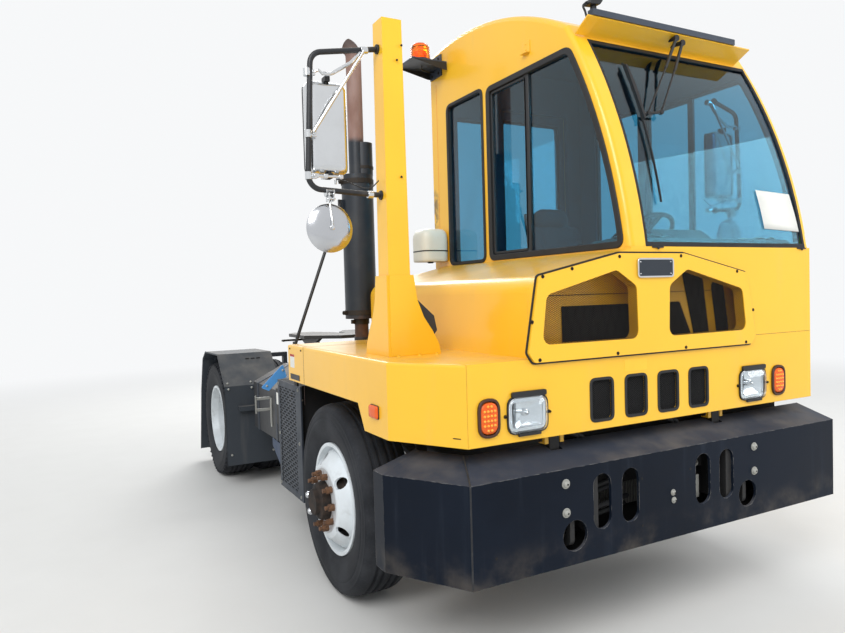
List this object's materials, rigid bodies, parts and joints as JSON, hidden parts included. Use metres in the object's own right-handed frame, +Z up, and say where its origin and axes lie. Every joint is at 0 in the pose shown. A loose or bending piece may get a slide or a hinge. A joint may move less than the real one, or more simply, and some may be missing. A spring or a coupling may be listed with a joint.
{
  "type": "terminal tractor",
  "caption": "Yard tractor with an offset tilting cab over the engine, steered front wheels, twin rear wheels and a fifth wheel on a lifting boom.",
  "frame": {"origin": "on the ground at the middle of the vehicle's length and width", "axes": "+X to the vehicle's left, -Y to its front, +Z up"},
  "size_m": [2.8978, 5.006, 3.2711],
  "materials": {
    "yellow_paint": "weathered yellow enamel",
    "black_paint": "scratched satin black",
    "frame_paint": "dusty black chassis paint",
    "greased_steel": "greased dark steel",
    "cylinder_chrome": "ground and chromed rod",
    "white_wheel": "white enamel with rust at the hub",
    "tyre_rubber": "dusty black rubber",
    "grille_black": "black expanded mesh",
    "cab_floor_mat": "matt rubber mat on steel",
    "window_glass": "blue-green tinted safety glass",
    "lamp_clear": "clear lens over a bright reflector",
    "lamp_amber": "amber lens",
    "dash_plastic": "grey-green moulded plastic",
    "seat_cloth": "dark woven cloth",
    "mirror_steel": "polished stainless shell",
    "tank_plastic": "white moulded plastic",
    "exhaust_steel": "heat-stained steel with a black shield"
  },
  "bodies": {
    "chassis": {"frame_rails": "frame_paint", "bumper": "black_paint", "engine_block": "frame_paint", "front_axle": "frame_paint", "rear_axle": "frame_paint", "rear_fenders": "black_paint", "guard_box": "black_paint", "frame_tanks": "black_paint", "steps": "black_paint", "exhaust_stack": "exhaust_steel"},
    "cab": {"front_panel": "yellow_paint", "grille_panel": "yellow_paint", "grille_mesh": "grille_black", "hood": "yellow_paint", "right_fender": "yellow_paint", "cab_floor": "cab_floor_mat", "cab_right_side": "yellow_paint", "cab_left_side": "yellow_paint", "cab_rear_wall": "yellow_paint", "roof": "yellow_paint", "cab_glass": "window_glass", "roof_fittings": "black_paint", "headlamps": "lamp_clear", "amber_lamps": "lamp_amber", "dash": "dash_plastic", "seat": "seat_cloth", "mirror_post": "yellow_paint", "mirror_arms": "black_paint", "mirror_heads": "mirror_steel", "side_tank": "tank_plastic"},
    "rear_door": {"rear_door": "yellow_paint", "rear_door_glass": "window_glass"},
    "knuckle_left": {"knuckle_left": "frame_paint"},
    "knuckle_right": {"knuckle_right": "frame_paint"},
    "tie_rod": {"tie_rod": "frame_paint"},
    "front_wheel_left": {"front_tyre_left": "tyre_rubber", "front_wheel_left": "white_wheel"},
    "front_wheel_right": {"front_tyre_right": "tyre_rubber", "front_wheel_right": "white_wheel"},
    "rear_wheels_left": {"rear_tyres_left": "tyre_rubber", "rear_wheels_left": "white_wheel"},
    "rear_wheels_right": {"rear_tyres_right": "tyre_rubber", "rear_wheels_right": "white_wheel"},
    "boom": {"boom": "frame_paint"},
    "fifth_wheel": {"fifth_wheel": "greased_steel"},
    "lift_barrels": {"lift_barrels": "greased_steel"},
    "lift_rods": {"lift_rods": "cylinder_chrome"}
  },
  "joints": [
    {"name": "cab_tilt", "type": "hinge", "parent": "chassis", "child": "cab", "pos_m": [0, -2.32, 0.957], "axis": [1, 0, 0], "range_deg": [0, 45]},
    {"name": "rear_door_slide", "type": "slide", "parent": "cab", "child": "rear_door", "axis": [-1, 0, 0], "range_m": [0, 0.6]},
    {"name": "steer_left", "type": "hinge", "parent": "chassis", "child": "knuckle_left", "pos_m": [0.896, -1.25, 0.515], "axis": [0, 0, 1], "range_deg": [-35, 35]},
    {"name": "steer_right", "type": "hinge", "parent": "chassis", "child": "knuckle_right", "pos_m": [-0.896, -1.25, 0.515], "axis": [0, 0, 1], "range_deg": [-35, 35]},
    {"name": "tie_rod_swing", "type": "hinge", "parent": "knuckle_left", "child": "tie_rod", "pos_m": [0.896, -1.03, 0.4], "axis": [0, 0, 1], "range_deg": [-35, 35]},
    {"name": "front_left_roll", "type": "hinge", "parent": "knuckle_left", "child": "front_wheel_left", "pos_m": [1.046, -1.25, 0.515], "axis": [1, 0, 0], "continuous": true},
    {"name": "front_right_roll", "type": "hinge", "parent": "knuckle_right", "child": "front_wheel_right", "pos_m": [-1.046, -1.25, 0.515], "axis": [1, 0, 0], "continuous": true},
    {"name": "rear_left_roll", "type": "hinge", "parent": "chassis", "child": "rear_wheels_left", "pos_m": [0.9125, 1.696, 0.515], "axis": [1, 0, 0], "continuous": true},
    {"name": "rear_right_roll", "type": "hinge", "parent": "chassis", "child": "rear_wheels_right", "pos_m": [-0.9125, 1.696, 0.515], "axis": [1, 0, 0], "continuous": true},
    {"name": "boom_lift", "type": "hinge", "parent": "chassis", "child": "boom", "pos_m": [0, 0.1, 0.82], "axis": [1, 0, 0], "range_deg": [0, 16]},
    {"name": "fifth_wheel_tilt", "type": "hinge", "parent": "boom", "child": "fifth_wheel", "pos_m": [0, 1.55, 1.165], "axis": [1, 0, 0], "range_deg": [-12, 12]},
    {"name": "lift_swing", "type": "hinge", "parent": "chassis", "child": "lift_barrels", "pos_m": [0, 0.977, 0.44], "axis": [1, 0, 0], "range_deg": [0, 5.2]},
    {"name": "lift_extend", "type": "slide", "parent": "lift_barrels", "child": "lift_rods", "axis": [0, 0.0547, 0.9985], "range_m": [0, 0.25]}
  ],
  "couplings": [
    {"joint": "steer_right", "follows": "steer_left", "ratio": 1},
    {"joint": "tie_rod_swing", "follows": "steer_left", "ratio": -1},
    {"joint": "lift_swing", "follows": "boom_lift", "ratio": 0.31884},
    {"joint": "lift_extend", "follows": "boom_lift", "m_per_rad": 0.88196}
  ]
}
